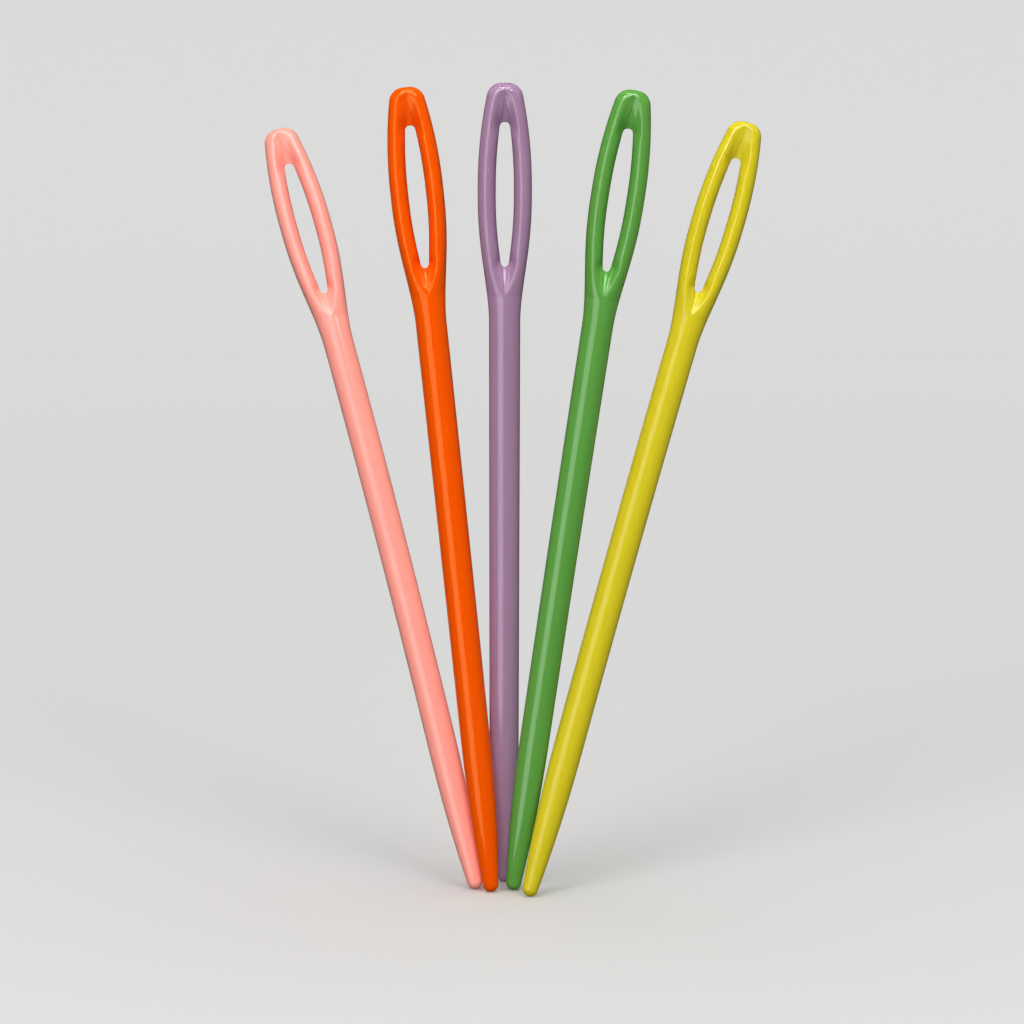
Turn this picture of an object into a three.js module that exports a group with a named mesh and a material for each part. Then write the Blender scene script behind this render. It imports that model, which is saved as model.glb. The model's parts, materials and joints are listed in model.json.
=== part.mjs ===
// A fan of plaiting needles: blunt plastic needles for wool and thick thread, one moulding each.
// Millimetres, +Z up. The origin is on the floor, in the middle of the bunch of feet; the heads spread
// along X, and the broad faces of the heads look along -Y.
import * as THREE from 'three';

// One needle, from the tip at the bottom to the crown of the head at the top
const NEEDLE_LENGTH = 151;
const TIP_RADIUS = 1.45;
const POINT_LENGTH = 30;
const POINT_FULLNESS = 2.2;
const SHAFT_DIAMETER = 5.5;
const NECK_DIAMETER = 5.75;

// Head: two rounded bars round a long eye
const HEAD_LENGTH = 43.5;
const HEAD_WIDTH = 9.9;
const HEAD_RISE = 24.1;
const BAR_WIDTH = 3.3;
const EYE_LENGTH = 26.4;
const EYE_END_ROUNDING = 1;
const EYE_EASE = 3;
const EYE_THICKNESS = 4.8;
const GROOVE_LENGTH = 5.1;

// Crown: the bridge over the eye
const CROWN_HEIGHT = 7.1;
const CROWN_WIDTH = 5.6;
const CROWN_THICKNESS = 4.2;
const CROWN_ROUNDING = 2.2;
const CROWN_RIM = 1.1;
const ARCH_ROUNDING = 1.8;

// Powers of the curves that run between the sizes above
const RISE_START = 1.7;
const RISE_END = 2.8;
const SHOULDER_CURVE = 2.12;
const EYE_CORNER = 2.8;
const GROOVE_CURVE = 1.6;
const GROOVE_EASE = 2;
const HOLLOW_CURVE = 1.1;
const HOLLOW_EASE = 2.2;

// Flats round a shaft, and steps along each stretch of a needle
const COLUMNS = 12;
const STEPS = { tip: 4, point: 6, shaft: 6, neck: 2, groove: 5, eye: 12, crown: 5, rim: 3 };

// The bunch: how far the farthest tip stands from the origin, and the most that a needle's middle is bowed
const BUNCH_RADIUS = 8.9;
const BOW = 1.05;

// Where each tip stands on the floor, in shares of BUNCH_RADIUS; how far the needle leans sideways and tilts
// back, in degrees; and how far its middle is bowed to the right, in shares of BOW
const NEEDLES = [
  { name: 'pink_needle', color: '#fb8f80', foot: [-0.62, -0.21], lean: -14.8, tilt: 14.5, bow: 1 },
  { name: 'orange_needle', color: '#f45a08', foot: [-0.28, -0.45], lean: -6, tilt: 4, bow: 0.1 },
  { name: 'purple_needle', color: '#9f7e9b', foot: [0, 0.44], lean: 0.1, tilt: -3.5, bow: 0 },
  { name: 'green_needle', color: '#57993d', foot: [0.21, -0.28], lean: 8.5, tilt: 1, bow: -0.25 },
  { name: 'yellow_needle', color: '#d6c82a', foot: [0.56, -0.83], lean: 15.9, tilt: 10, bow: -0.6 },
];

// Heights above the tip that follow from the sizes
const NECK = NEEDLE_LENGTH - HEAD_LENGTH;
const WIDEST = NECK + HEAD_RISE;
const EYE_TOP = NEEDLE_LENGTH - CROWN_HEIGHT;
const EYE_BOTTOM = EYE_TOP - EYE_LENGTH;
const GROOVE_END = EYE_BOTTOM - GROOVE_LENGTH;
const RIM = NEEDLE_LENGTH - CROWN_RIM;

const clamp = (value) => Math.min(Math.max(value, 0), 1);
const mix = (from, to, share) => from + (to - from) * share;
const smooth = (share) => share * share * (3 - 2 * share);
// A rounded corner: 0 where it starts, 1 where it has run its course
const corner = (share, power) => (1 - (1 - clamp(share)) ** power) ** (1 / power);

function shaftRadius(height) {
  if (height < TIP_RADIUS) {
    return TIP_RADIUS * corner(height / TIP_RADIUS, 2);
  }
  if (height < POINT_LENGTH) {
    const along = (height - TIP_RADIUS) / (POINT_LENGTH - TIP_RADIUS);
    return mix(TIP_RADIUS, SHAFT_DIAMETER / 2, 1 - (1 - along) ** POINT_FULLNESS);
  }
  const along = clamp((height - POINT_LENGTH) / (NECK - POINT_LENGTH));
  return mix(SHAFT_DIAMETER, NECK_DIAMETER, along) / 2;
}

function halfWidth(height) {
  if (height <= NECK) {
    return shaftRadius(height);
  }
  if (height <= WIDEST) {
    const rise = 1 - (1 - ((height - NECK) / HEAD_RISE) ** RISE_START) ** RISE_END;
    return mix(NECK_DIAMETER, HEAD_WIDTH, rise) / 2;
  }
  const fall = ((height - WIDEST) / (NEEDLE_LENGTH - WIDEST)) ** SHOULDER_CURVE;
  const share = clamp((NEEDLE_LENGTH - height) / CROWN_ROUNDING);
  return (mix(HEAD_WIDTH, CROWN_WIDTH, fall) / 2) * Math.cbrt(1 - (1 - share) ** 2);
}

function halfThickness(height) {
  if (height <= NECK) {
    return shaftRadius(height);
  }
  const middle = (EYE_BOTTOM + EYE_TOP) / 2;
  if (height <= middle) {
    return mix(NECK_DIAMETER, EYE_THICKNESS, smooth((height - NECK) / (middle - NECK))) / 2;
  }
  const plain = mix(EYE_THICKNESS, CROWN_THICKNESS, (height - middle) / (NEEDLE_LENGTH - middle)) / 2;
  return plain * corner((NEEDLE_LENGTH - height) / CROWN_RIM, 2);
}

// Half of the space between the bars, which goes on as a hollow past the eye's rounded ends
const halfSpace = (height) => Math.max(halfWidth(height) - BAR_WIDTH, 0);

function eyeHalfWidth(height) {
  const fromEnd = Math.min(height - EYE_BOTTOM, EYE_TOP - height);
  return halfSpace(height) * corner(fromEnd / EYE_END_ROUNDING, EYE_CORNER);
}

// The crest of a bar runs up its middle. Both crests meet in an arch under the rim, and run together at the
// groove's end, below which the needle is round. 1 is fully apart, 0 together.
function crestShare(height) {
  const open = Math.sqrt(1 - corner((EYE_BOTTOM - height) / GROOVE_LENGTH, GROOVE_CURVE) ** 2);
  return ((2 * open) / (1 + open)) * corner((RIM - height) / ARCH_ROUNDING, 2);
}

// Past the eye's rounded ends a floor rises between the bars, from 0 to the full thickness, which is 1
function floorShare(x, height) {
  const space = halfSpace(height);
  const across = x < space ? x / space : 1;
  const drop = Math.min(2 * space, EYE_END_ROUNDING) * (1 - (1 - across ** EYE_CORNER) ** (1 / EYE_CORNER));
  const groove = corner((EYE_BOTTOM + drop - height) / GROOVE_LENGTH, GROOVE_CURVE);
  const hollow = corner((height + drop - EYE_TOP) / (RIM - EYE_TOP), HOLLOW_CURVE);
  return groove + hollow;
}

// The power that eases a bar's inner side into the floor: 1 beside the eye, where the side is plain round
function easing(height) {
  const nearGroove = smooth(clamp(1 - (height - EYE_BOTTOM) / EYE_EASE));
  const nearHollow = smooth(clamp(1 - (EYE_TOP - height) / EYE_EASE));
  return 1 + (GROOVE_EASE - 1) * nearGroove + (HOLLOW_EASE - 1) * nearHollow;
}

// The right half of a cross-section, from the middle of the front round the side to the middle of the back
function sectionPoints(height) {
  const half = halfWidth(height);
  const space = halfSpace(height);
  const eye = eyeHalfWidth(height);
  const apart = crestShare(height);
  const crest = (half - BAR_WIDTH / 2) * apart;
  const start = (-Math.PI / 2) * apart;
  const points = [];
  for (let column = 0; column <= COLUMNS; column += 1) {
    const fromFront = Math.min(column, COLUMNS - column) / (COLUMNS / 2);
    const turn = Math.sin(mix(start, Math.PI / 2, fromFront));
    const inside = turn < 0 ? 1 - turn / Math.sin(start) : 1;
    const outside = Math.max(turn, 0);
    const x = mix(eye, crest, inside) + (half - crest) * outside;
    const upWall = x < crest ? clamp((x - space) / (crest - space)) : 1;
    const sunk = (1 - floorShare(x, height) ** 2) * (1 - upWall ** easing(height)) ** 2;
    const depth = halfThickness(height) * Math.sqrt(Math.max(1 - sunk - outside ** 2, 0));
    points.push([x, column * 2 < COLUMNS ? -depth : depth]);
  }
  return points;
}

// Heights of the rows of points, closest together where the shape turns quickest
function rowHeights() {
  const heights = [];
  const stretch = (from, to, steps, place) => {
    for (let step = 1; step <= steps; step += 1) {
      heights.push(step === steps ? to : mix(from, to, place(step / steps)));
    }
  };
  const even = (share) => share;
  const slowStart = (share) => 1 - Math.cos((share * Math.PI) / 2);
  const slowEnd = (share) => Math.sin((share * Math.PI) / 2);
  const slowBoth = (share) => (1 - Math.cos(share * Math.PI)) / 2;
  stretch(0, TIP_RADIUS, STEPS.tip, slowStart);
  stretch(TIP_RADIUS, POINT_LENGTH, STEPS.point, slowStart);
  stretch(POINT_LENGTH, NECK, STEPS.shaft, even);
  stretch(NECK, GROOVE_END, STEPS.neck, even);
  stretch(GROOVE_END, EYE_BOTTOM, STEPS.groove, slowEnd);
  stretch(EYE_BOTTOM, EYE_TOP, STEPS.eye, slowBoth);
  stretch(EYE_TOP, RIM, STEPS.crown, slowBoth);
  stretch(RIM, NEEDLE_LENGTH, STEPS.rim, slowEnd);
  heights.pop();
  return heights;
}

// One closed skin: both halves share their middle points, except beside the eye, where each bar closes on
// itself. The four middle points of the rows at the eye's ends are one point.
function needleGeometry(bow) {
  const positions = [];
  const faces = [];
  const addPoint = (x, y, height) => {
    const along = height / NEEDLE_LENGTH;
    positions.push(x + bow * BOW * 4 * along * (1 - along), y, height - TIP_RADIUS);
    return positions.length / 3 - 1;
  };
  const addFace = (a, b, c) => {
    if (a !== b && b !== c && c !== a) {
      faces.push(a, b, c);
    }
  };
  const rows = rowHeights().map((height) => {
    const points = sectionPoints(height);
    const atEye = height >= EYE_BOTTOM && height <= EYE_TOP;
    const eyeEnd = height === EYE_BOTTOM || height === EYE_TOP;
    const half = (side, twin) => {
      const corners = [];
      points.forEach(([x, y], column) => {
        const middle = column === 0 || column === COLUMNS;
        if (atEye && column === COLUMNS) {
          corners.push(corners[0]);
        } else if (twin && middle && (!atEye || eyeEnd)) {
          corners.push(twin[column]);
        } else {
          corners.push(addPoint(side * x, y, height));
        }
      });
      return corners;
    };
    const right = half(1, null);
    const left = half(-1, right);
    return { right, left };
  });
  const tip = addPoint(0, 0, 0);
  const crown = addPoint(0, 0, NEEDLE_LENGTH);
  const last = rows[rows.length - 1];
  for (let column = 0; column < COLUMNS; column += 1) {
    addFace(tip, rows[0].right[column + 1], rows[0].right[column]);
    addFace(tip, rows[0].left[column], rows[0].left[column + 1]);
    addFace(crown, last.right[column], last.right[column + 1]);
    addFace(crown, last.left[column + 1], last.left[column]);
    for (let row = 0; row + 1 < rows.length; row += 1) {
      const low = rows[row];
      const high = rows[row + 1];
      addFace(low.right[column], low.right[column + 1], high.right[column + 1]);
      addFace(low.right[column], high.right[column + 1], high.right[column]);
      addFace(low.left[column], high.left[column + 1], low.left[column + 1]);
      addFace(low.left[column], high.left[column], high.left[column + 1]);
    }
  }
  const geometry = new THREE.BufferGeometry();
  geometry.setAttribute('position', new THREE.Float32BufferAttribute(positions, 3));
  geometry.setIndex(faces);
  return geometry;
}

function makeNeedle({ name, color, foot, lean, tilt, bow }) {
  const material = new THREE.MeshStandardMaterial({ color, roughness: 0.25, metalness: 0 });
  const needle = new THREE.Mesh(needleGeometry(bow), material);
  needle.name = name;
  // The mesh turns about the middle of its round tip, which stands on the floor
  needle.position.set(foot[0] * BUNCH_RADIUS, foot[1] * BUNCH_RADIUS, TIP_RADIUS);
  needle.rotation.set(THREE.MathUtils.degToRad(-tilt), THREE.MathUtils.degToRad(lean), 0);
  return needle;
}

const fan = new THREE.Group();
for (const needle of NEEDLES) {
  fan.add(makeNeedle(needle));
}

export default fan;
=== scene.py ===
"""A fan of plaiting needles: blunt moulded plastic with long eyes, standing on their round tips.

Metres, +Z up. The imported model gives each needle's body and the way it points.
"""

import json
import math

import bpy
from mathutils import Matrix, Vector


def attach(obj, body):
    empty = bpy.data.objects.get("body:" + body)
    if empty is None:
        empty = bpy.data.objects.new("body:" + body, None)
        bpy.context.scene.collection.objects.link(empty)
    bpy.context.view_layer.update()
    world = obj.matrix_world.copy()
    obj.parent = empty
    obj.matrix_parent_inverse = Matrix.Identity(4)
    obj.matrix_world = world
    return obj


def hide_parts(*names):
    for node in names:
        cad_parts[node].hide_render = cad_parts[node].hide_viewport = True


bl_info = {
    "name": "Plaiting needle fan",
    "version": (1, 0, 0),
    "blender": (4, 5, 0),
    "location": "3D View > Sidebar > Needles",
    "description": "Makes a fan of moulded plastic plaiting needles and the studio that shows it",
    "category": "Object",
}

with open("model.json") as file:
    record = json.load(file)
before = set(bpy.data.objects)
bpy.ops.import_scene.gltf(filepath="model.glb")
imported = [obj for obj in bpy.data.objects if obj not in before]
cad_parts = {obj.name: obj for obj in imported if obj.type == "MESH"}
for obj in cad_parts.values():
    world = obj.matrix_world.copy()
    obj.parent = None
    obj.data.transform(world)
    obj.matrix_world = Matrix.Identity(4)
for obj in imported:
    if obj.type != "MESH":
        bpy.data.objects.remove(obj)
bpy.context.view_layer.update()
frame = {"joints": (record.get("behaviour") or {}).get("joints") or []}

MM = 0.001

# Points along half a ring of one side of a needle, and rows along each stretch from tip to crown
COLUMNS = 48
STEPS = {
    "tip": 12,
    "point": 28,
    "shaft": 40,
    "neck": 14,
    "groove": 26,
    "eye": 96,
    "crown": 36,
    "rim": 14,
}
WELD = 0.003 * MM

# Powers of the curves that run between a needle's sizes. ROUND makes a corner a quarter of a circle.
ROUND = 2.0
CROWN_SQUARENESS = 3.0
POINT_FULLNESS = 2.2
RISE_START = 1.7
RISE_END = 2.8
SHOULDER_CURVE = 2.12
GROOVE_CURVE = 1.6
HOLLOW_CURVE = 1.1
GROOVE_EASE = 2.0
HOLLOW_EASE = 2.2
EYE_CORNER = 2.8
TINY = 0.000001

# The direction of the needle that stays, which has no joint, in degrees: upright, tilted forward
ROOT_LEAN = 0.1
ROOT_TILT = -3.5

# The plastic: streaks of pigment to the metre, their shades, and how rough and uneven the surface is
STREAKS_ACROSS = 420.0
STREAKS_ALONG = 38.0
DEEP_SHADE = 0.95
PALE_SHADE = 1.03
SMOOTH_ROUGHNESS = 0.07
SMUDGE_ROUGHNESS = 0.05
DULL_ROUGHNESS = 0.22
RIPPLE_HEIGHT = 0.012
PARTING_REACH = 0.07 * MM

# Its duller part, in the groove and the hollow of the crown: how far that reaches, and how it fades
DULL_INTO_EYE = 1.5 * MM
DULL_EYE_FADE = 2.0 * MM
DULL_HALF_WIDTH = 0.7 * MM
DULL_SIDE_FADE = 1.1 * MM
DULL_UP_CROWN = 4.6 * MM
DULL_CROWN_FADE = 0.8 * MM
DULL_DOWN_GROOVE = 4.0 * MM
DULL_GROOVE_FADE = 1.5 * MM

# The photograph's view. Elevations and bearings are in degrees, and a bearing is off the front.
VIEW_ELEVATION = 8.0
VIEW_DISTANCE = 600.0 * MM
VIEW_WIDTH = 189.3 * MM
VIEW_TARGET = (1.54 * MM, -4.0 * MM, 72.04 * MM)
VIEW_NEAREST = 10.0 * MM
VIEW_FARTHEST = 20000.0 * MM
SENSOR = 36.0

# The round cove: its rings and sides, and the painted shade that makes its paper darker near the floor
# lamps
FLOOR_RINGS = 8
CURVE_RINGS = 24
COVE_SIDES = 96
LAMP_FALLOFF = 3.0
SHADE_PAINT_START = 0.13
SHADE_PAINT_STRENGTH = 3.0

# Keys are square lamps that look at the middle of the needles. Each floor lamp's bearing has its share
# of their brightness.
NEEDLE_MIDDLE = Vector((0.0, 0.0, 75.0 * MM))
KEY_DISTANCE = 1150.0 * MM
KEY_WIDTH = 530.0 * MM
FRONT_KEY = {"bearing": -6.0, "elevation": 42.0}
BACK_KEY = {"bearing": 180.0, "elevation": 35.0}
BACK_KEY_SHARE = 0.5
FLOOR_LAMP_ELEVATION = 24.0
FLOOR_LAMPS = {-38.0: 0.55, 38.0: 0.45}
TOP_LAMP_PLACE = (0.0, 300.0 * MM, 1800.0 * MM)
TOP_LAMP_TARGET = (0.0, 300.0 * MM, 0.0)
TOP_LAMP_WIDTH = 1800.0 * MM

# Sheens are panels that show in the gloss. The upright ones have a bearing, a width and a share of
# the brightness.
SHEEN_RADIUS = 350.0 * MM
SHEEN_MIDDLE = 180.0 * MM
SHEEN_HEIGHT = 540.0 * MM
UPRIGHT_SHEENS = {
    "front_sheen": (-29.5, 260.0 * MM, 1.0),
    "rim_sheen": (108.0, 70.0 * MM, 0.12),
}
TOP_SHEEN_PLACE = (0.0, -287.0 * MM, 560.0 * MM)
TOP_SHEEN_TARGET = (0.0, 0.0, 150.0 * MM)
TOP_SHEEN_SIZE = (600.0 * MM, 470.0 * MM)
TOP_SHEEN_SHARE = 2.4

NEEDLE_GROUP = "needles"
STUDIO_GROUP = "studio"


class Term:
    """One socket of a node tree. Arithmetic on it adds Math nodes."""

    def __init__(self, maker, socket):
        self.maker = maker
        self.socket = socket

    def _math(self, operation, first, second=None):
        sockets = {0: first} if second is None else {0: first, 1: second}
        return self.maker.add("ShaderNodeMath", sockets, operation=operation)

    def __add__(self, other):
        return self._math("ADD", self, other)

    def __radd__(self, other):
        return self._math("ADD", other, self)

    def __sub__(self, other):
        return self._math("SUBTRACT", self, other)

    def __rsub__(self, other):
        return self._math("SUBTRACT", other, self)

    def __mul__(self, other):
        return self._math("MULTIPLY", self, other)

    def __rmul__(self, other):
        return self._math("MULTIPLY", other, self)

    def __truediv__(self, other):
        return self._math("DIVIDE", self, other)

    def __rtruediv__(self, other):
        return self._math("DIVIDE", other, self)

    def __pow__(self, other):
        return self._math("POWER", self, other)

    def __abs__(self):
        return self._math("ABSOLUTE", self)

    def root(self):
        return self._math("SQRT", self._math("MAXIMUM", self, 0.0))

    def sine(self):
        return self._math("SINE", self)

    def cosine(self):
        return self._math("COSINE", self)

    def rounded(self):
        return self._math("ROUND", self)

    def least(self, other):
        return self._math("MINIMUM", self, other)

    def most(self, other):
        return self._math("MAXIMUM", self, other)

    def above(self, other):
        return self._math("GREATER_THAN", self, other)

    def share(self):
        """The value kept between 0 and 1."""
        return self.most(0.0).least(1.0)

    def smooth(self):
        """Eases a share in and out."""
        return self * self * (3.0 - 2.0 * self)

    def corner(self, power):
        """A rounded corner: 0 where the share starts, 1 where it has run its course."""
        return (1.0 - (1.0 - self.share()) ** power) ** (1.0 / power)


class Maker:
    """Adds nodes to one tree."""

    def __init__(self, tree):
        self.tree = tree

    def add(self, kind, sockets=None, out=0, **settings):
        """A node of that kind: its settings first, then the value or link of each socket.

        Gives one of its outputs, if it has any.
        """
        node = self.tree.nodes.new(kind)
        for name, value in settings.items():
            setattr(node, name, value)
        for key, value in (sockets or {}).items():
            if isinstance(value, Term):
                self.tree.links.new(value.socket, node.inputs[key])
            else:
                node.inputs[key].default_value = value
        return Term(self, node.outputs[out]) if node.outputs else None

    def blend(self, share, first, second):
        """A colour between two others, by a share."""
        return self.add("ShaderNodeMix", {0: share, 6: first, 7: second}, out=2, data_type="RGBA")

    def parts(self, vector):
        """The X, Y and Z of a vector."""
        first = self.add("ShaderNodeSeparateXYZ", {0: vector})
        return [Term(self, output) for output in first.socket.node.outputs]


def length(name, description, millimetres):
    return bpy.props.FloatProperty(
        name=name,
        description=description,
        default=millimetres * MM,
        min=0.0,
        precision=5,
        unit="LENGTH",
        subtype="DISTANCE",
    )


def colour(name, description, red, green, blue):
    return bpy.props.FloatVectorProperty(
        name=name,
        description=description,
        default=(red, green, blue),
        min=0.0,
        max=1.0,
        subtype="COLOR",
    )


def gloss(level):
    return bpy.props.FloatProperty(
        name="Gloss",
        description="How strongly the surface mirrors the light",
        default=level,
        min=0.0,
        max=1.0,
        subtype="FACTOR",
    )


def gloss_tint(red, green, blue):
    return colour("Gloss colour", "Tint of the light that the surface mirrors", red, green, blue)


def strength(name, description, default):
    return bpy.props.FloatProperty(name=name, description=description, default=default, min=0.0)


def foot(across, back):
    return bpy.props.FloatVectorProperty(
        name="Foot",
        description="Where the tip stands on the floor: to the right, and away from the viewer",
        default=(across * MM, back * MM),
        size=2,
        precision=5,
        unit="LENGTH",
        subtype="XYZ",
    )


def bow(millimetres):
    return bpy.props.FloatProperty(
        name="Bow",
        description="How far the middle of the needle is bowed to the right",
        default=millimetres * MM,
        precision=5,
        unit="LENGTH",
        subtype="DISTANCE",
    )


class NeedleSizes(bpy.types.PropertyGroup):
    """The sizes that every needle of the fan shares."""

    needle_length: length("Needle length", "From the tip to the crown", 151.0)
    tip_radius: length("Tip radius", "Radius of the round tip", 1.45)
    point_length: length("Point length", "How far the taper runs up from the tip", 30.0)
    shaft_diameter: length("Shaft diameter", "Diameter of the shaft where the taper ends", 5.5)
    neck_diameter: length("Neck diameter", "Diameter of the shaft where the head starts", 5.75)
    head_length: length("Head length", "From the neck to the crown", 43.5)
    head_width: length("Head width", "Across the widest part of the head", 9.9)
    head_rise: length("Head rise", "From the neck to the widest part of the head", 24.1)
    bar_width: length("Bar width", "Width of each bar beside the eye", 3.3)
    eye_length: length("Eye length", "Length of the eye", 26.4)
    eye_end_rounding: length("Eye end rounding", "Length over which the eye's ends close", 1.0)
    eye_thickness: length("Eye thickness", "Front to back at the middle of the eye", 4.8)
    groove_length: length("Groove length", "From the eye down to where the bars meet", 5.1)
    arch_rounding: length("Arch rounding", "How far below the rim the bars' crests turn into it", 1.8)
    eye_ease: length("Eye ease", "How far from the eye's ends the bars' inner sides ease into it", 3.0)
    crown_height: length("Crown height", "From the eye up to the crown", 7.1)
    crown_width: length("Crown width", "Across the crown before its corners are rounded", 5.6)
    crown_thickness: length("Crown thickness", "Front to back at the crown", 4.2)
    crown_rounding: length("Crown rounding", "Height of the crown's rounded corners", 2.2)
    crown_rim: length("Crown rim", "Height of the rounded rim of the crown", 1.1)


class PinkNeedle(bpy.types.PropertyGroup):
    """The needle at the left end."""

    colour: colour("Colour", "Coral pink plastic", 0.965, 0.345, 0.283)
    gloss: gloss(0.125)
    gloss_colour: gloss_tint(1.0, 1.0, 1.0)
    foot: foot(-5.518, -1.869)
    bow: bow(1.05)


class OrangeNeedle(bpy.types.PropertyGroup):
    """The needle second from the left."""

    colour: colour("Colour", "Orange plastic", 0.875, 0.091, 0.001)
    gloss: gloss(0.125)
    gloss_colour: gloss_tint(1.0, 0.82, 0.28)
    foot: foot(-2.492, -4.005)
    bow: bow(0.105)


class PurpleNeedle(bpy.types.PropertyGroup):
    """The upright needle at the back."""

    colour: colour("Colour", "Mauve plastic", 0.355, 0.211, 0.334)
    gloss: gloss(0.155)
    gloss_colour: gloss_tint(1.0, 1.0, 1.0)
    foot: foot(0.0, 3.916)
    bow: bow(0.0)


class GreenNeedle(bpy.types.PropertyGroup):
    """The needle second from the right."""

    colour: colour("Colour", "Green plastic", 0.106, 0.33, 0.055)
    gloss: gloss(0.15)
    gloss_colour: gloss_tint(1.0, 1.0, 1.0)
    foot: foot(1.869, -2.492)
    bow: bow(-0.2625)


class YellowNeedle(bpy.types.PropertyGroup):
    """The needle at the right end."""

    colour: colour("Colour", "Yellow plastic", 0.625, 0.523, 0.018)
    gloss: gloss(0.09)
    gloss_colour: gloss_tint(1.0, 1.0, 1.0)
    foot: foot(4.984, -7.387)
    bow: bow(-0.63)


NEEDLES = {
    "pink": PinkNeedle,
    "orange": OrangeNeedle,
    "purple": PurpleNeedle,
    "green": GreenNeedle,
    "yellow": YellowNeedle,
}


class StudioSettings(bpy.types.PropertyGroup):
    """The cove and its soft panels."""

    floor_radius: length("Floor radius", "Radius of the flat floor", 1100.0)
    cove_radius: length("Cove radius", "Radius of the curve from the floor to the wall", 700.0)
    wall_height: length("Wall height", "Height of the wall above the curve", 700.0)
    glow_radius: length("Glow radius", "Where the glow reaches its full strength", 1050.0)
    cove_colour: colour("Cove colour", "Colour of the floor and the wall", 0.78, 0.78, 0.775)
    wall_glow: strength("Wall glow", "Light that the far floor and the wall give out", 0.197)
    key: strength("Key lamp", "Brightness of the soft lamp in front of the needles", 14.4)
    floor_key: strength("Floor lamps", "Brightness of the lamps that light the floor alone", 10.1)
    top: strength("Top lamp", "Brightness of the overhead lamp", 1.32)
    sheen: strength("Sheen", "Brightness of the panels that show in the gloss", 9.0)
    fill: strength("Fill", "Strength of the even light from everywhere", 0.33)


def needle_tree():
    """Geometry Nodes for one straight needle on its tip, from the named sizes."""
    tree = bpy.data.node_groups.new("Plaiting needle", "GeometryNodeTree")
    maker = Maker(tree)
    size_names = list(NeedleSizes.__annotations__)
    for name in size_names + ["bow"]:
        tree.interface.new_socket(name=name, in_out="INPUT", socket_type="NodeSocketFloat")
    tree.interface.new_socket(name="material", in_out="INPUT", socket_type="NodeSocketMaterial")
    tree.interface.new_socket(name="Geometry", in_out="OUTPUT", socket_type="NodeSocketGeometry")
    inputs = tree.nodes.new("NodeGroupInput")
    size = {name: Term(maker, inputs.outputs[name]) for name in size_names + ["bow", "material"]}

    tip = size["tip_radius"]
    neck = size["needle_length"] - size["head_length"]
    widest = neck + size["head_rise"]
    eye_top = size["needle_length"] - size["crown_height"]
    eye_bottom = eye_top - size["eye_length"]
    groove_end = eye_bottom - size["groove_length"]
    rim = size["needle_length"] - size["crown_rim"]

    # A flat grid is bent round one side of the needle: its X runs round it, its Y up the needle
    rows = sum(STEPS.values())
    grid = maker.add(
        "GeometryNodeMeshGrid",
        {"Size X": 1.0, "Size Y": 1.0, "Vertices X": COLUMNS + 1, "Vertices Y": rows + 1},
    )
    across, upward, _ = maker.parts(maker.add("GeometryNodeInputPosition"))
    column = ((across + 0.5) * float(COLUMNS)).rounded()
    row = ((upward + 0.5) * float(rows)).rounded()
    along = {}
    first_row = 0
    for name, steps in STEPS.items():
        along[name] = ((row - float(first_row)) / float(steps)).share()
        first_row += steps

    def slow_start(share):
        return 1.0 - (share * (math.pi / 2)).cosine()

    def slow_end(share):
        return (share * (math.pi / 2)).sine()

    def slow_both(share):
        return (1.0 - (share * math.pi).cosine()) / 2.0

    # Rows lie closest together where the shape turns quickest
    placed = {
        "tip": (tip, slow_start(along["tip"])),
        "point": (size["point_length"] - tip, slow_start(along["point"])),
        "shaft": (neck - size["point_length"], along["shaft"]),
        "neck": (groove_end - neck, along["neck"]),
        "groove": (size["groove_length"], slow_end(along["groove"])),
        "eye": (size["eye_length"], slow_both(along["eye"])),
        "crown": (rim - eye_top, slow_both(along["crown"])),
        "rim": (size["crown_rim"], slow_end(along["rim"])),
    }
    height = 0.0
    below_crown = 0.0
    for stretch, share in placed.values():
        height = height + stretch * share
        below_crown = below_crown + stretch * (1.0 - share)

    # The shaft: round tip, full taper, and a slight swell up to the neck
    shaft = tip * placed["tip"][1].corner(ROUND)
    taper = 1.0 - (1.0 - placed["point"][1]) ** POINT_FULLNESS
    shaft = shaft + (size["shaft_diameter"] / 2.0 - tip) * taper
    shaft = shaft + (size["neck_diameter"] - size["shaft_diameter"]) / 2.0 * along["shaft"]

    # Half of the head's width: it rises to the widest part, falls to the crown and closes over it
    rise = 1.0 - (1.0 - ((height - neck) / size["head_rise"]).share() ** RISE_START) ** RISE_END
    fall = ((height - widest) / (size["needle_length"] - widest)).share() ** SHOULDER_CURVE
    width = shaft + (size["head_width"] - size["neck_diameter"]) / 2.0 * rise
    width = width + (size["crown_width"] - size["head_width"]) / 2.0 * fall
    closing = 1.0 - (1.0 - (below_crown / size["crown_rounding"]).share()) ** 2.0
    width = width * closing ** (1.0 / CROWN_SQUARENESS)

    # Half of its thickness
    middle = (eye_bottom + eye_top) / 2.0
    thinning = ((height - neck) / (middle - neck)).share().smooth()
    upper = ((height - middle) / (size["needle_length"] - middle)).share()
    thickness = shaft + (size["eye_thickness"] - size["neck_diameter"]) / 2.0 * thinning
    thickness = thickness + (size["crown_thickness"] - size["eye_thickness"]) / 2.0 * upper
    thickness = thickness * (below_crown / size["crown_rim"]).corner(ROUND)

    # Half of the space between the bars, and of the eye, whose ends are rounded
    space = (width - size["bar_width"]).most(0.0)
    eye_share = placed["eye"][1]
    from_end = size["eye_length"] * eye_share.least(1.0 - eye_share)
    eye = space * (from_end / size["eye_end_rounding"]).corner(EYE_CORNER)

    # The crest of a bar runs up its middle. Both crests meet in a flat arch under the rim, and run
    # together at the groove's end, below which the needle is round.
    groove_open = (1.0 - (1.0 - placed["groove"][1]).corner(GROOVE_CURVE) ** 2.0).root()
    arch = ((rim - height) / size["arch_rounding"]).corner(ROUND)
    apart = 2.0 * groove_open / (1.0 + groove_open) * arch
    crest = (width - size["bar_width"] / 2.0) * apart

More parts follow.
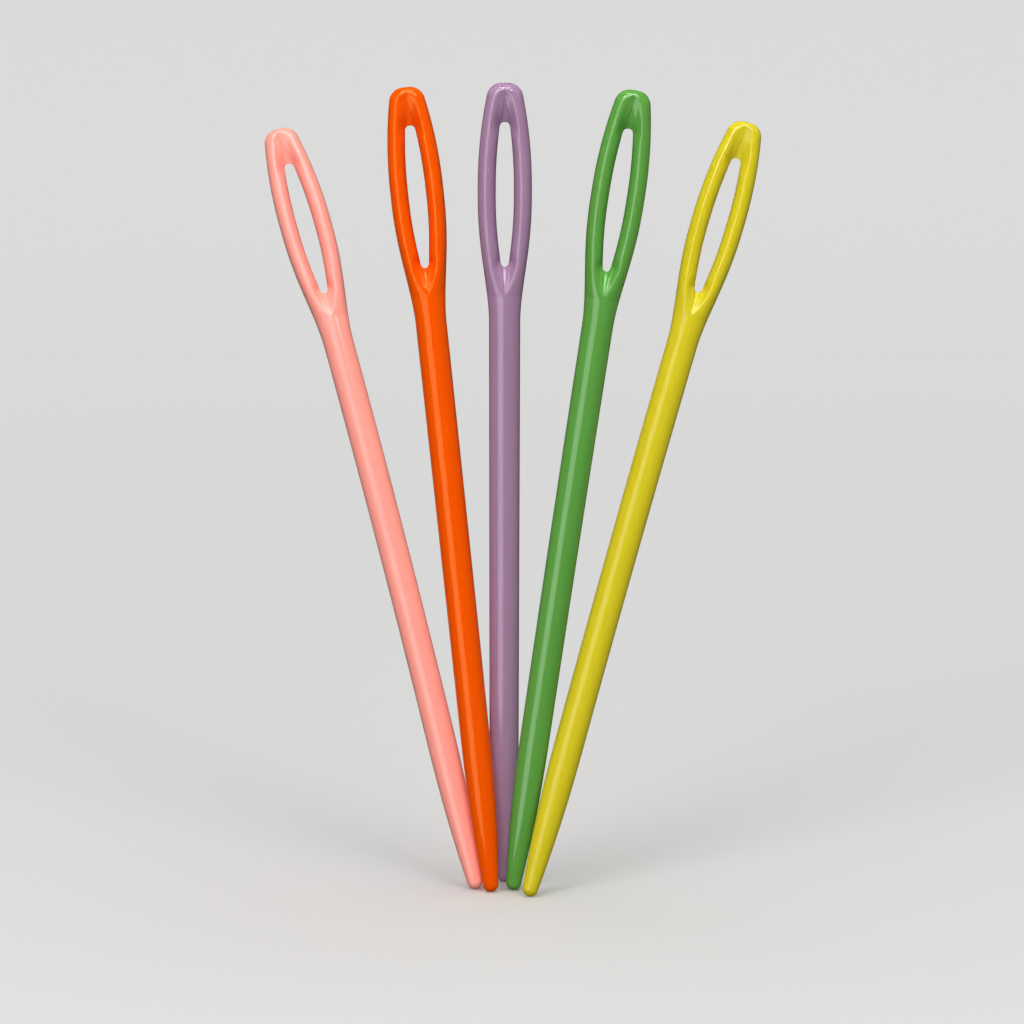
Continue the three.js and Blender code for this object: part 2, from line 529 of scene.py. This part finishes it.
    # Points run from the middle of the front over the crest, round the side, and back the same way
    half_way = COLUMNS / 2
    from_front = 1.0 - abs(column - half_way) / half_way
    start = apart * (-math.pi / 2)
    turn = (start + (math.pi / 2 - start) * from_front).sine()
    inside = (1.0 - turn / start.sine().least(-TINY)).share()
    sideways = eye + (crest - eye) * inside + (width - crest) * turn.most(0.0)

    # Past the eye's rounded ends a floor rises from nothing to the full thickness
    across_space = (sideways / space.most(TINY)).share()
    drop = (2.0 * space).least(size["eye_end_rounding"]) * (
        1.0 - (1.0 - across_space ** EYE_CORNER).most(0.0) ** (1.0 / EYE_CORNER)
    )
    floor = ((eye_bottom + drop - height) / size["groove_length"]).corner(GROOVE_CURVE)
    floor = floor + ((height + drop - eye_top) / (rim - eye_top)).corner(HOLLOW_CURVE)

    # Across a bar the surface is an ellipse, but its inner side eases into the groove and the hollow
    near_groove = (1.0 - (height - eye_bottom) / size["eye_ease"]).share().smooth()
    near_crown = (1.0 - (eye_top - height) / size["eye_ease"]).share().smooth()
    ease = 1.0 + (GROOVE_EASE - 1.0) * near_groove + (HOLLOW_EASE - 1.0) * near_crown
    up_wall = ((sideways - space) / (crest - space).most(TINY)).share()
    sunk = (1.0 - floor * floor) * (1.0 - up_wall ** ease) ** 2.0
    depth = (1.0 - sunk - turn.most(0.0) ** 2.0).root()
    facing = 1.0 - 2.0 * (half_way - column).above(0.0)
    place = maker.add(
        "ShaderNodeCombineXYZ",
        {"X": sideways, "Y": thickness * depth * facing, "Z": height - tip},
    )
    right = maker.add("GeometryNodeSetPosition", {"Geometry": grid, "Position": place})
    mirrored = maker.add("GeometryNodeTransform", {"Geometry": right, "Scale": (-1.0, 1.0, 1.0)})
    left = maker.add("GeometryNodeFlipFaces", {"Mesh": mirrored})
    both = maker.add("GeometryNodeJoinGeometry", {"Geometry": right})
    tree.links.new(left.socket, both.socket.node.inputs["Geometry"])
    skin = maker.add("GeometryNodeMergeByDistance", {"Geometry": both, "Distance": WELD})

    # The straight needle's own coordinates go with the surface, for the plastic's streaks and lines
    skin = maker.add(
        "GeometryNodeStoreNamedAttribute",
        {"Geometry": skin, "Name": "straight", "Value": maker.add("GeometryNodeInputPosition")},
        data_type="FLOAT_VECTOR",
        domain="POINT",
    )
    _, _, level = maker.parts(maker.add("GeometryNodeInputPosition"))
    share = (level + tip) / size["needle_length"]
    bend = maker.add("ShaderNodeCombineXYZ", {"X": size["bow"] * 4.0 * share * (1.0 - share)})
    skin = maker.add("GeometryNodeSetPosition", {"Geometry": skin, "Offset": bend})
    skin = maker.add("GeometryNodeSetShadeSmooth", {"Geometry": skin})
    skin = maker.add("GeometryNodeRealizeInstances", {"Geometry": skin})
    skin = maker.add("GeometryNodeSetMaterial", {"Geometry": skin, "Material": size["material"]})
    output = tree.nodes.new("NodeGroupOutput")
    tree.links.new(skin.socket, output.inputs["Geometry"])
    return tree


def way_of(body):
    """The lean to the side and the tilt back of a needle, from the joint that draws it out."""
    for joint in frame["joints"]:
        if joint["child"] == body:
            x, y, z = joint["axis"]
            return math.asin(x), math.atan2(y, z)
    return math.radians(ROOT_LEAN), math.radians(ROOT_TILT)


def needle_plastic(name, sizes, settings):
    """Moulded plastic: pigment with faint streaks, a soft gloss, and the mould's parting line."""
    material = bpy.data.materials.new(name)
    material.use_nodes = True
    material.node_tree.nodes.clear()
    maker = Maker(material.node_tree)
    place = maker.add("ShaderNodeAttribute", out="Vector", attribute_name="straight")
    side, depth, level = maker.parts(place)
    tint = tuple(settings.colour)

    # Pigment drawn out along the flow, in streaks a few millimetres wide and a few centimetres long
    flow = maker.add(
        "ShaderNodeMapping", {"Vector": place, "Scale": (STREAKS_ACROSS, STREAKS_ACROSS, STREAKS_ALONG)}
    )
    streaks = maker.add(
        "ShaderNodeTexNoise", {"Vector": flow, "Scale": 1.0, "Detail": 3.0, "Roughness": 0.55}
    )
    deep = tuple(part * DEEP_SHADE for part in tint) + (1.0,)
    pale = tuple(min(part * PALE_SHADE, 1.0) for part in tint) + (1.0,)
    pigment = maker.blend(streaks, deep, pale)

    # The groove and the hollow of the crown are less polished than the rest
    half_eye = sizes.eye_length / 2
    eye_top = sizes.needle_length - sizes.crown_height - sizes.tip_radius
    eye_middle = eye_top - half_eye
    past_eye = (abs(level - eye_middle) - half_eye + DULL_INTO_EYE) / DULL_EYE_FADE
    sideways = (abs(side) - DULL_HALF_WIDTH) / DULL_SIDE_FADE
    up_crown = (level - eye_top - DULL_UP_CROWN) / DULL_CROWN_FADE
    up_groove = (level - eye_middle + half_eye + DULL_DOWN_GROOVE) / DULL_GROOVE_FADE
    dull = past_eye.share().smooth() * (1.0 - sideways.share().smooth())
    dull = dull * (1.0 - up_crown.share().smooth()) * up_groove.share().smooth()

    # Handling leaves smudges, and the mould a slight ripple and a raised line where its halves meet
    smudges = maker.add(
        "ShaderNodeTexNoise", {"Vector": place, "Scale": 90.0, "Detail": 4.0, "Roughness": 0.6}
    )
    ripple = maker.add(
        "ShaderNodeTexNoise", {"Vector": place, "Scale": 900.0, "Detail": 2.0, "Roughness": 0.5}
    )
    parting = 1.0 - (abs(depth) / PARTING_REACH).share().smooth()
    relief = ripple * RIPPLE_HEIGHT + parting
    bump = maker.add("ShaderNodeBump", {"Strength": 0.35, "Distance": 0.02 * MM, "Height": relief})
    surface = maker.add(
        "ShaderNodeBsdfPrincipled",
        {
            "Base Color": pigment,
            "Roughness": SMOOTH_ROUGHNESS + smudges * SMUDGE_ROUGHNESS + dull * DULL_ROUGHNESS,
            "Normal": bump,
            "IOR": 1.5,
            "Specular IOR Level": settings.gloss,
            "Specular Tint": tuple(settings.gloss_colour) + (1.0,),
            "Subsurface Weight": 0.12,
            "Subsurface Radius": (1.0, 0.7, 0.5),
            "Subsurface Scale": 1.2 * MM,
        },
    )
    maker.add("ShaderNodeOutputMaterial", {"Surface": surface})
    return material


def make_needle(name, tree, sizes, settings):
    """One finished needle: the tree's mesh, set in its place in the fan."""
    material = needle_plastic(name + "_plastic", sizes, settings)
    start = bpy.data.objects.new(name + "_start", bpy.data.meshes.new(name + "_start"))
    bpy.context.scene.collection.objects.link(start)
    modifier = start.modifiers.new("Needle", "NODES")
    modifier.node_group = tree
    for item in tree.interface.items_tree:
        if item.in_out != "INPUT":
            continue
        if item.name == "material":
            modifier[item.identifier] = material
        elif item.name == "bow":
            modifier[item.identifier] = settings.bow
        else:
            modifier[item.identifier] = getattr(sizes, item.name)
    start.update_tag()
    bpy.context.view_layer.update()
    evaluated = start.evaluated_get(bpy.context.evaluated_depsgraph_get())
    mesh = bpy.data.meshes.new_from_object(evaluated)
    start.modifiers.remove(modifier)
    bpy.data.objects.remove(start)
    lean, tilt = way_of(name)
    turned = Matrix.Rotation(-tilt, 3, "X") @ Matrix.Rotation(lean, 3, "Y")
    stand = Vector((settings.foot[0], settings.foot[1], sizes.tip_radius))
    mesh.transform(Matrix.Translation(stand) @ turned.to_4x4())
    mesh.name = name + "_moulding"
    piece = bpy.data.objects.new(name + "_moulding", mesh)
    bpy.data.collections[NEEDLE_GROUP].objects.link(piece)
    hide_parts(name + "_needle")
    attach(piece, name)


class FAN_OT_make_needles(bpy.types.Operator):
    """Makes the five needles from one shape, each in its colour and place"""

    bl_idname = "fan.make_needles"
    bl_label = "Make needles"

    def execute(self, context):
        tree = needle_tree()
        sizes = context.scene.needle_sizes
        for name in NEEDLES:
            make_needle(name, tree, sizes, getattr(context.scene, name + "_needle"))
        return {"FINISHED"}


def look_at(thing, target):
    """Turns a light so that its face looks at the target."""
    thing.rotation_euler = (Vector(target) - thing.location).to_track_quat("-Z", "Y").to_euler()


def make_camera():
    camera = bpy.data.objects.new("camera", bpy.data.cameras.new("camera"))
    bpy.context.scene.collection.objects.link(camera)
    camera.data.sensor_width = SENSOR
    camera.data.lens = SENSOR * VIEW_DISTANCE / VIEW_WIDTH
    camera.data.clip_start = VIEW_NEAREST
    camera.data.clip_end = VIEW_FARTHEST
    elevation = math.radians(VIEW_ELEVATION)
    back = Vector((0.0, -math.cos(elevation), math.sin(elevation)))
    camera.location = Vector(VIEW_TARGET) + back * VIEW_DISTANCE
    camera.rotation_euler = (math.pi / 2 - elevation, 0.0, 0.0)
    bpy.context.scene.camera = camera


def key_place(bearing, elevation):
    """Where a lamp stands at that bearing from the front, and that far above the level."""
    turn = math.radians(bearing)
    rise = math.radians(elevation)
    level = math.cos(rise)
    way = Vector((level * math.sin(turn), -level * math.cos(turn), math.sin(rise)))
    return NEEDLE_MIDDLE + KEY_DISTANCE * way


def cove_paper(settings):
    """Matt paper that glows faintly far out, where it stands for a lit wall, and is darkened with
    painted shade under the floor lamps.
    """
    material = bpy.data.materials.new("cove_paper")
    material.use_nodes = True
    material.node_tree.nodes.clear()
    maker = Maker(material.node_tree)
    place = maker.add("ShaderNodeTexCoord", out="Object")
    across, back, _ = maker.parts(place)
    outward = ((across * across + back * back).root() / settings.glow_radius).share()
    glow = outward * settings.wall_glow

    # Under the floor lamps the paper is darkened with painted shade that cancels their pool of light,
    # so that it looks even from behind too
    painted_shade = 0.0
    for bearing in FLOOR_LAMPS:
        lamp = key_place(bearing, FLOOR_LAMP_ELEVATION)
        gap = maker.add(
            "ShaderNodeVectorMath", {0: place, 1: lamp}, out="Value", operation="DISTANCE"
        )
        painted_shade = painted_shade + ((lamp.z / gap) ** LAMP_FALLOFF - SHADE_PAINT_START).most(0.0)
    grey = tuple(settings.cove_colour) + (1.0,)
    tint = maker.blend(1.0 / (1.0 + painted_shade * SHADE_PAINT_STRENGTH), (0.0, 0.0, 0.0, 1.0), grey)
    paper = maker.add(
        "ShaderNodeBsdfPrincipled",
        {
            "Base Color": tint,
            "Roughness": 1.0,
            "Specular IOR Level": 0.0,
            "Emission Color": maker.add("ShaderNodeCombineColor", {0: glow, 1: glow, 2: glow}),
            "Emission Strength": 1.0,
        },
    )
    maker.add("ShaderNodeOutputMaterial", {"Surface": paper})
    return material


def make_cove(settings):
    """A round floor that curves up into a wall on every side."""
    radius = settings.floor_radius
    outline = [(radius * step / FLOOR_RINGS, 0.0) for step in range(1, FLOOR_RINGS + 1)]
    turn = settings.cove_radius
    for step in range(1, CURVE_RINGS + 1):
        angle = math.pi / 2 * step / CURVE_RINGS
        outline.append((radius + turn * math.sin(angle), turn * (1.0 - math.cos(angle))))
    outline.append((radius + turn, turn + settings.wall_height))
    points = [(0.0, 0.0, 0.0)]
    faces = []
    for r, z in outline:
        for step in range(COVE_SIDES):
            angle = 2 * math.pi * step / COVE_SIDES
            points.append((r * math.cos(angle), r * math.sin(angle), z))
    for step in range(COVE_SIDES):
        after = (step + 1) % COVE_SIDES
        faces.append((0, 1 + step, 1 + after))
        for ring in range(len(outline) - 1):
            low = 1 + ring * COVE_SIDES
            high = low + COVE_SIDES
            faces.append((low + step, high + step, high + after, low + after))
    mesh = bpy.data.meshes.new("cove")
    mesh.from_pydata(points, [], faces)
    mesh.shade_smooth()
    mesh.materials.append(cove_paper(settings))
    cove = bpy.data.objects.new("cove", mesh)
    bpy.data.collections[STUDIO_GROUP].objects.link(cove)
    cove.visible_glossy = False
    cove.visible_diffuse = False


def make_lamp(name, place, target, width, height, brightness):
    """A soft white panel that shows neither to the camera nor in the gloss."""
    data = bpy.data.lights.new(name, "AREA")
    data.shape = "RECTANGLE"
    data.size = width
    data.size_y = height
    data.energy = brightness * math.pi * width * height
    lamp = bpy.data.objects.new(name, data)
    bpy.context.scene.collection.objects.link(lamp)
    lamp.location = place
    look_at(lamp, target)
    lamp.visible_camera = False
    lamp.visible_glossy = False
    return lamp


def make_key(name, bearing, elevation, receiver, brightness):
    """A lamp that lights one group alone."""
    place = key_place(bearing, elevation)
    lamp = make_lamp(name, place, NEEDLE_MIDDLE, KEY_WIDTH, KEY_WIDTH, brightness)
    lamp.light_linking.receiver_collection = bpy.data.collections[receiver]


def make_sheen(name, place, target, width, height, brightness):
    """A panel that shows in the needles' gloss alone, through the floor too."""
    lamp = make_lamp(name, place, target, width, height, brightness)
    lamp.visible_glossy = True
    lamp.visible_diffuse = False
    lamp.light_linking.receiver_collection = bpy.data.collections[NEEDLE_GROUP]
    lamp.light_linking.blocker_collection = bpy.data.collections[NEEDLE_GROUP]


def upright_sheen(name, bearing, width, brightness):
    """A tall panel that stands by the needles, at a bearing from the front."""
    turn = math.radians(bearing)
    place = (SHEEN_RADIUS * math.sin(turn), -SHEEN_RADIUS * math.cos(turn), SHEEN_MIDDLE)
    make_sheen(name, place, (0.0, 0.0, SHEEN_MIDDLE), width, SHEEN_HEIGHT, brightness)


class FAN_OT_make_studio(bpy.types.Operator):
    """Makes the camera, the cove and the soft lights"""

    bl_idname = "fan.make_studio"
    bl_label = "Make studio"

    def execute(self, context):
        settings = context.scene.studio
        context.scene.view_settings.view_transform = "Standard"
        make_camera()
        make_cove(settings)
        key = settings.key
        make_key("front_key", **FRONT_KEY, receiver=NEEDLE_GROUP, brightness=key)
        make_key("back_key", **BACK_KEY, receiver=NEEDLE_GROUP, brightness=key * BACK_KEY_SHARE)
        for bearing, part in FLOOR_LAMPS.items():
            brightness = settings.floor_key * part
            make_key("floor_key", bearing, FLOOR_LAMP_ELEVATION, STUDIO_GROUP, brightness)
        make_lamp(
            "top_lamp", TOP_LAMP_PLACE, TOP_LAMP_TARGET, TOP_LAMP_WIDTH, TOP_LAMP_WIDTH, settings.top
        )
        for name, (bearing, width, part) in UPRIGHT_SHEENS.items():
            upright_sheen(name, bearing, width, settings.sheen * part)
        brightness = settings.sheen * TOP_SHEEN_SHARE
        make_sheen("top_sheen", TOP_SHEEN_PLACE, TOP_SHEEN_TARGET, *TOP_SHEEN_SIZE, brightness)
        world = bpy.data.worlds.new("fill")
        world.use_nodes = True
        background = world.node_tree.nodes["Background"]
        background.inputs["Color"].default_value = (1.0, 1.0, 1.0, 1.0)
        background.inputs["Strength"].default_value = settings.fill
        world.cycles_visibility.glossy = False
        context.scene.world = world
        return {"FINISHED"}


class FAN_PT_panel(bpy.types.Panel):
    """The fan's sizes and colours, and what makes it"""

    bl_label = "Plaiting needles"
    bl_space_type = "VIEW_3D"
    bl_region_type = "UI"
    bl_category = "Needles"

    def draw(self, context):
        layout = self.layout
        layout.operator(FAN_OT_make_studio.bl_idname)
        layout.operator(FAN_OT_make_needles.bl_idname)
        for name in NeedleSizes.__annotations__:
            layout.prop(context.scene.needle_sizes, name)
        for name, group in NEEDLES.items():
            box = layout.box()
            for item in group.__annotations__:
                box.prop(getattr(context.scene, name + "_needle"), item)
        for name in StudioSettings.__annotations__:
            layout.prop(context.scene.studio, name)


CLASSES = (
    NeedleSizes,
    *NEEDLES.values(),
    StudioSettings,
    FAN_OT_make_needles,
    FAN_OT_make_studio,
    FAN_PT_panel,
)


def register():
    for item in CLASSES:
        bpy.utils.register_class(item)
    bpy.types.Scene.needle_sizes = bpy.props.PointerProperty(type=NeedleSizes)
    bpy.types.Scene.studio = bpy.props.PointerProperty(type=StudioSettings)
    for name, group in NEEDLES.items():
        setattr(bpy.types.Scene, name + "_needle", bpy.props.PointerProperty(type=group))


def unregister():
    for name in NEEDLES:
        delattr(bpy.types.Scene, name + "_needle")
    del bpy.types.Scene.studio
    del bpy.types.Scene.needle_sizes
    for item in reversed(CLASSES):
        bpy.utils.unregister_class(item)


def main():
    register()
    for group in (NEEDLE_GROUP, STUDIO_GROUP):
        bpy.context.scene.collection.children.link(bpy.data.collections.new(group))
    bpy.ops.fan.make_studio()
    bpy.ops.fan.make_needles()


if __name__ == "__main__":
    main()
